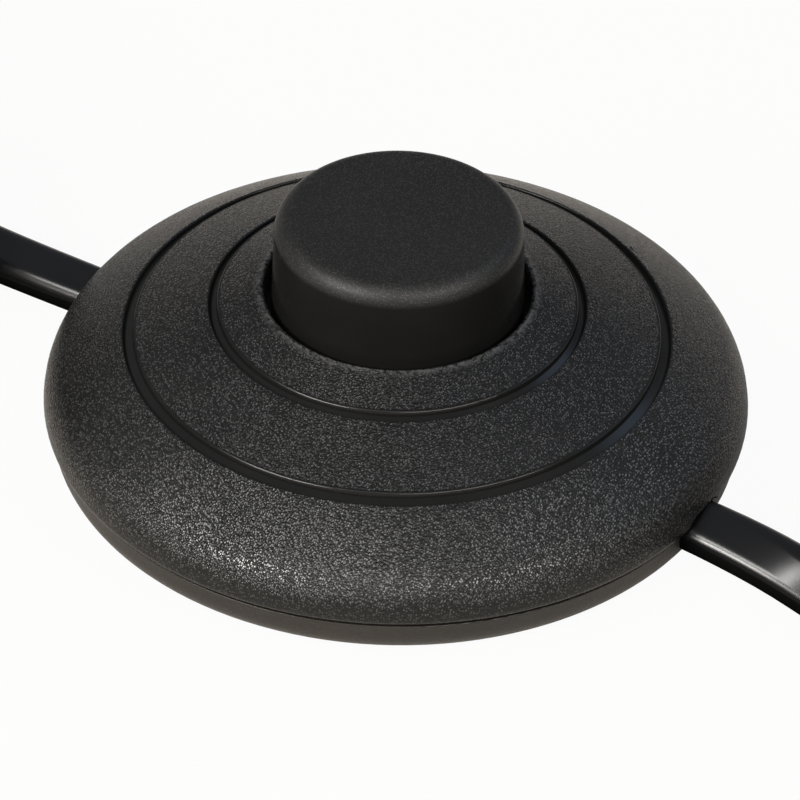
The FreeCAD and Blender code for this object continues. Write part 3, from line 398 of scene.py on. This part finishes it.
# Cords: flat twin cord with a glossy black sheath, extruded, lying flat where it leaves the switch.
# Its lower side has painted shade: the coat is left off there, so that it mirrors nothing.
# What isn't needed is wound on edge into a hank of two layers beside the switch and tied.
CORD_WIDTH = 0.0054
CORD_THICKNESS = 0.0032
CORD_EDGE_STEPS = 10
CORD_SPAN_STEPS = 10
CORD_BLACK = ((0.0026, 0.0026, 0.0027), (0.0038, 0.0038, 0.0039))
# Painted shade on the cord's lower side: the coat stops at this height, which falls away from the switch.
CORD_SHADE_LINE = (0.0054, 0.0061)
CORD_SHADE_FALL = 0.065
HANK_CENTRE = (0.081, 0.0144)
HANK_HALF_RUN = 0.0225
FOLD_RADIUS = 0.0177
FOLD_POINTS = 8
TURN_PITCH = 0.0034
LAYER_PITCH = 0.0056
HANK_MIDDLE = 0.0063
LAYER_LIMIT = 0.0035
LAMP_TURNS = 3
SUPPLY_TURNS = 4
SUPPLY_HANK_SHIFT = 0.006


def hank_turns(turns):
    """Control points of a hank on the lamp's side, sixteen for each turn, and the last fold's points at the end.

    Each turn goes round the far fold and back round the near one. A fold's points lie where the sides of an even
    polygon that touches the fold's circle meet. Across the bundle a turn lies at one of the four corners of a
    rectangle, and the near fold carries it a quarter of the way round to the next corner.
    """
    half_step = math.pi / FOLD_POINTS / 2
    fold = (2 * np.arange(FOLD_POINTS) + 1) * half_step - math.pi / 2
    angle = np.concatenate([fold, fold + math.pi])
    middle = HANK_CENTRE[0] + HANK_HALF_RUN * np.repeat([1, -1], FOLD_POINTS)
    share = (np.arange(FOLD_POINTS) + 0.5) / FOLD_POINTS
    quarter = np.concatenate([np.zeros(FOLD_POINTS), share * share * (3 - 2 * share)])
    corner = -math.pi / 4 - math.pi / 2 * (np.arange(turns)[:, None] + quarter)
    radius = (FOLD_RADIUS + TURN_PITCH * math.sqrt(0.5) * np.cos(corner)) / math.cos(half_step)
    height = HANK_MIDDLE + np.clip(LAYER_PITCH * math.sqrt(0.5) * np.sin(corner), -LAYER_LIMIT, LAYER_LIMIT)
    return np.stack([middle + radius * np.cos(angle), HANK_CENTRE[1] + radius * np.sin(angle), height],
                    axis=-1).reshape(-1, 3)


def flat_cord(name, points, on_edge, material):
    """Quadratic NURBS through the control points, with the cord's flat section.

    on_edge is the roll at each point: 0 flat, 1 upright, and -1 upright but rolled the other way.
    """
    curve = bpy.data.curves.new(name, "CURVE")
    curve.dimensions = "3D"
    curve.twist_mode = "Z_UP"
    curve.extrude = (CORD_WIDTH - CORD_THICKNESS) / 2
    curve.bevel_depth = CORD_THICKNESS / 2
    curve.bevel_resolution = CORD_EDGE_STEPS
    curve.resolution_u = CORD_SPAN_STEPS
    curve.use_fill_caps = True
    spline = curve.splines.new("NURBS")
    spline.points.add(len(points) - 1)
    spline.points.foreach_set("co", np.column_stack([points, np.ones(len(points))]).ravel())
    spline.points.foreach_set("tilt", (1 - np.asarray(on_edge, float)) * math.pi / 2)
    spline.order_u = 3
    spline.use_endpoint_u = True
    curve.materials.append(material)
    cord = bpy.data.objects.new(name, curve)
    bpy.context.scene.collection.objects.link(cord)
    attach(cord, "housing")
    return cord


def cord_painted_shade_mask(tree):
    """0 on the lower side, where the coat is left off as painted shade, and 1 above it.

    The line between them is at one height, less a share of the distance from the switch, as the cord goes down there.
    """
    parts = add_node(tree, "ShaderNodeSeparateXYZ", {0: own_place(tree)}).outputs
    away = calculate(tree, "ABSOLUTE", parts["X"])
    return ramp(tree, calculate(tree, "MULTIPLY_ADD", away, CORD_SHADE_FALL, parts["Z"]), CORD_SHADE_LINE)


# The cord's coat is taken off its lower side as painted shade.
cord_black_shaded = moulded_plastic("cord_black_gloss_and_shade", CORD_BLACK, roughness=(0.3, 0.3), grains=900, depth=0.000004,
                             smooth=cord_painted_shade_mask, coat=(1.0, 1.0), Specular_IOR_Level=0.0, Coat_IOR=1.66,
                             Coat_Roughness=0.23)
finish_nodes(cord_black_shaded, "supply_cord", "supply_cord_hank", "supply_cord_end", "lamp_cord", "lamp_cord_hank",
             "lamp_cord_end")

lamp_start = [(0.0186, 0, 0.0032), (0.0351, 0, 0.0032), (0.0521, -0.0046, 0.0027), (0.0695, -0.005, 0.0035)]
lamp_finish = [(0.0625, -0.0033, 0.0092), (0.0745, -0.0033, 0.0138), (0.0895, -0.0033, 0.0138)]
lamp_turns = hank_turns(LAMP_TURNS)
lamp_cord = flat_cord("lamp_flat_cord", np.concatenate([lamp_start, lamp_turns, lamp_finish]),
                      [0, -0.15, -0.8, -1] + [-1] * len(lamp_turns) + [-1, 0, 0], cord_black_shaded)
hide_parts("lamp_cord", "lamp_cord_hank", "lamp_cord_end")

supply_start = [(-0.0186, 0, 0.0032), (-0.0351, 0, 0.0032), (-0.0521, 0.0021, 0.002), (-0.0755, 0.005, 0.0035)]
supply_finish = [(-0.0595, -0.0338, 0.0094), (-0.0497, -0.02223, 0.0122), (-0.0497, -0.00827, 0.0162),
                 (-0.0595, 0.0016, 0.01905), (-0.06448, 0.0016, 0.01905)]
supply_turns = hank_turns(SUPPLY_TURNS)[:-FOLD_POINTS] * (-1, -1, 1) - (SUPPLY_HANK_SHIFT, 0, 0)
supply_cord = flat_cord("supply_flat_cord", np.concatenate([supply_start, supply_turns, supply_finish]),
                        [0, 0.08, 0.2, 1] + [1] * len(supply_turns) + [1, 0.5, 0, 0, 0], cord_black_shaded)
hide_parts("supply_cord", "supply_cord_hank", "supply_cord_end")


# Ties: black nylon straps, moulded in one with a square locking head.
# Each is drawn tight round the outer run of its hank and cut off at the head.
TIE_BLACK = ((0.012, 0.012, 0.012), (0.02, 0.02, 0.02))
finish_nodes(moulded_plastic("tie_nylon", TIE_BLACK, roughness=(0.36, 0.48), grains=2600, depth=0.000008),
             "supply_cord_tie", "lamp_cord_tie")


# Plug: soft black plastic moulded round the cord's end and the pins, with a tapered strain relief.
# The pins are nickel-plated brass, sleeved for half their length.
PLUG_BLACK = ((0.0115, 0.0115, 0.0118), (0.0165, 0.0165, 0.0168))
finish_nodes(moulded_plastic("plug_soft_black", PLUG_BLACK, roughness=(0.42, 0.52), grains=2800, depth=0.00002),
             "plug_body")
finish_nodes(metal("pin_nickel", bright=(0.72, 0.69, 0.62), dull=(0.56, 0.53, 0.47), roughness=(0.14, 0.28)),
             "plug_pins")


# Lamp end: the sheath is stripped back from the brown and the blue core.
# Each core is crimped into a ferrule of tinned copper, ready for the lamp's terminals.
CORES_MIDDLE = -0.0033


def core_pair(name, near, far, middle):
    """Insulation of two cores: near colours where Y is below middle and far ones above, each with its drift."""
    material, tree, shader = new_material(name)
    mottle = add_node(tree, "ShaderNodeGroup", {"Grains per metre": INSULATION_GRAINS},
                      node_tree=moulded_grain).outputs["Mottle"]
    across = add_node(tree, "ShaderNodeSeparateXYZ", {0: own_place(tree)}).outputs["Y"]
    beyond = calculate(tree, "GREATER_THAN", across, middle)
    join(tree, shader, Base_Color=blend(tree, beyond, blend(tree, mottle, *near), blend(tree, mottle, *far)),
         Roughness=ramp(tree, mottle, (0.0, 1.0), INSULATION_ROUGHNESS))
    return material


finish_nodes(core_pair("core_insulation", BROWN, BLUE, CORES_MIDDLE), "lamp_end_cores")
finish_nodes(metal("ferrule_tin", bright=(0.74, 0.74, 0.73), dull=(0.55, 0.55, 0.54), roughness=(0.24, 0.42)),
             "lamp_end_ferrules")


# Camera: it looks down at the switch from the front right with a long lens.
# The roll and the small shifts put the switch where the photograph has it.
CAMERA_AZIMUTH, CAMERA_ELEVATION, CAMERA_ROLL = math.radians(29.9), math.radians(38.46), math.radians(1.09)
CAMERA_DISTANCE = 0.6349
CAMERA_NEAREST = 0.01
SENSOR_WIDTH = 36.0
FOCAL_LENGTH = 312.87
SHIFT_RIGHT, SHIFT_UP = 0.006, 0.0435


def direction(azimuth, elevation):
    """Unit vector towards a place round the object, azimuth 0 being the front and growing to the right."""
    return Vector((math.sin(azimuth) * math.cos(elevation), -math.cos(azimuth) * math.cos(elevation),
                   math.sin(elevation)))


back = direction(CAMERA_AZIMUTH, CAMERA_ELEVATION)
level_right = Vector((math.cos(CAMERA_AZIMUTH), math.sin(CAMERA_AZIMUTH), 0))
level_up = back.cross(level_right)
right = level_right * math.cos(CAMERA_ROLL) + level_up * math.sin(CAMERA_ROLL)
up = back.cross(right)
lens = bpy.data.cameras.new("camera")
lens.sensor_width = SENSOR_WIDTH
lens.lens = FOCAL_LENGTH
lens.shift_x = SHIFT_RIGHT
lens.shift_y = SHIFT_UP
lens.clip_start = CAMERA_NEAREST
camera = bpy.data.objects.new("camera", lens)
camera.matrix_world = Matrix.Translation(back * CAMERA_DISTANCE) @ Matrix((right, up, back)).transposed().to_4x4()
bpy.context.scene.collection.objects.link(camera)
bpy.context.scene.camera = camera


# Floor: a sweep of matt pale paper, laid flat.
# The camera sees it nearly white with a soft shadow, and glossy pieces mirror a little of that white.
FLOOR_HALF = 8.0
FLOOR_LEVEL = -0.00005
PAPER_COLOUR = (0.58, 0.535, 0.48)
PAPER_ROUGHNESS = 0.9
PAPER_SPECULAR = 0.1
SEEN_WHITE = 0.95
MIRRORED_WHITE = 0.1
floor_mesh = bpy.data.meshes.new("floor")
floor_mesh.from_pydata([(x * FLOOR_HALF, y * FLOOR_HALF, FLOOR_LEVEL)
                        for x, y in ((-1, -1), (1, -1), (1, 1), (-1, 1))], [], [(0, 1, 2, 3)])
floor = bpy.data.objects.new("floor", floor_mesh)
bpy.context.scene.collection.objects.link(floor)
sweep, sweep_tree, paper = new_material("white_sweep", Base_Color=(*PAPER_COLOUR, 1), Roughness=PAPER_ROUGHNESS,
                                        Specular_IOR_Level=PAPER_SPECULAR)
rays = add_node(sweep_tree, "ShaderNodeLightPath").outputs
mirrored = calculate(sweep_tree, "MAXIMUM", rays["Is Glossy Ray"], rays["Is Transmission Ray"])
share = calculate(sweep_tree, "MAXIMUM", calculate(sweep_tree, "MULTIPLY", rays["Is Camera Ray"], SEEN_WHITE),
                  calculate(sweep_tree, "MULTIPLY", mirrored, MIRRORED_WHITE))
white = add_node(sweep_tree, "ShaderNodeEmission", {"Color": (1, 1, 1, 1), "Strength": 1.0})
both = add_node(sweep_tree, "ShaderNodeMixShader", {0: share, 1: paper.outputs[0], 2: white.outputs[0]})
sweep_tree.links.new(both.outputs[0], sweep_tree.nodes["Material Output"].inputs["Surface"])
floor_mesh.materials.append(sweep)


# Lights: a key softbox at the camera's left and a long fill at its right, both low and warm, for the rim.
# Weaker ones stand above, at the left, at the right, and behind, where the light is bluish.
# An even grey world fills the shadows. Each row has degrees of azimuth and elevation, metres, watts and colour.
WORLD_COLOUR = (0.145, 0.152, 0.168)
SOFTBOXES = {
    "key_softbox": (-16, 31, 1.2, (0.62, 0.24), 12.6, (1.0, 0.96, 0.91)),
    "fill_softbox": (62, 33, 1.4, (1.3, 0.28), 11.2, (1.0, 0.97, 0.93)),
    "top_softbox": (12, 60, 1.5, (1.0, 0.5), 3.0, (0.98, 0.99, 1.0)),
    "right_softbox": (98, 57, 1.3, (0.5, 0.3), 1.3, (1.0, 0.95, 0.9)),
    "back_softbox": (140, 40, 1.4, (0.8, 0.4), 1.1, (0.5, 0.7, 1.0)),
    "left_softbox": (-42, 47, 1.2, (0.45, 0.16), 3.0, (1.0, 0.99, 0.97)),
}


def softbox(name, azimuth, elevation, distance, size, power, colour):
    """Rectangular area lamp, size wide and high, that faces the object."""
    lamp = bpy.data.lights.new(name, "AREA")
    lamp.shape = "RECTANGLE"
    lamp.size, lamp.size_y = size
    lamp.energy = power
    lamp.color = colour
    towards = direction(math.radians(azimuth), math.radians(elevation))
    holder = bpy.data.objects.new(name, lamp)
    holder.location = towards * distance
    holder.rotation_mode = "QUATERNION"
    holder.rotation_quaternion = towards.to_track_quat("Z", "Y")
    bpy.context.scene.collection.objects.link(holder)


world = bpy.data.worlds.new("studio")
world.use_nodes = True
world.node_tree.nodes["Background"].inputs["Color"].default_value = (*WORLD_COLOUR, 1)
bpy.context.scene.world = world
for box_name, box in SOFTBOXES.items():
    softbox(box_name, *box)
bpy.context.scene.view_settings.view_transform = "Standard"
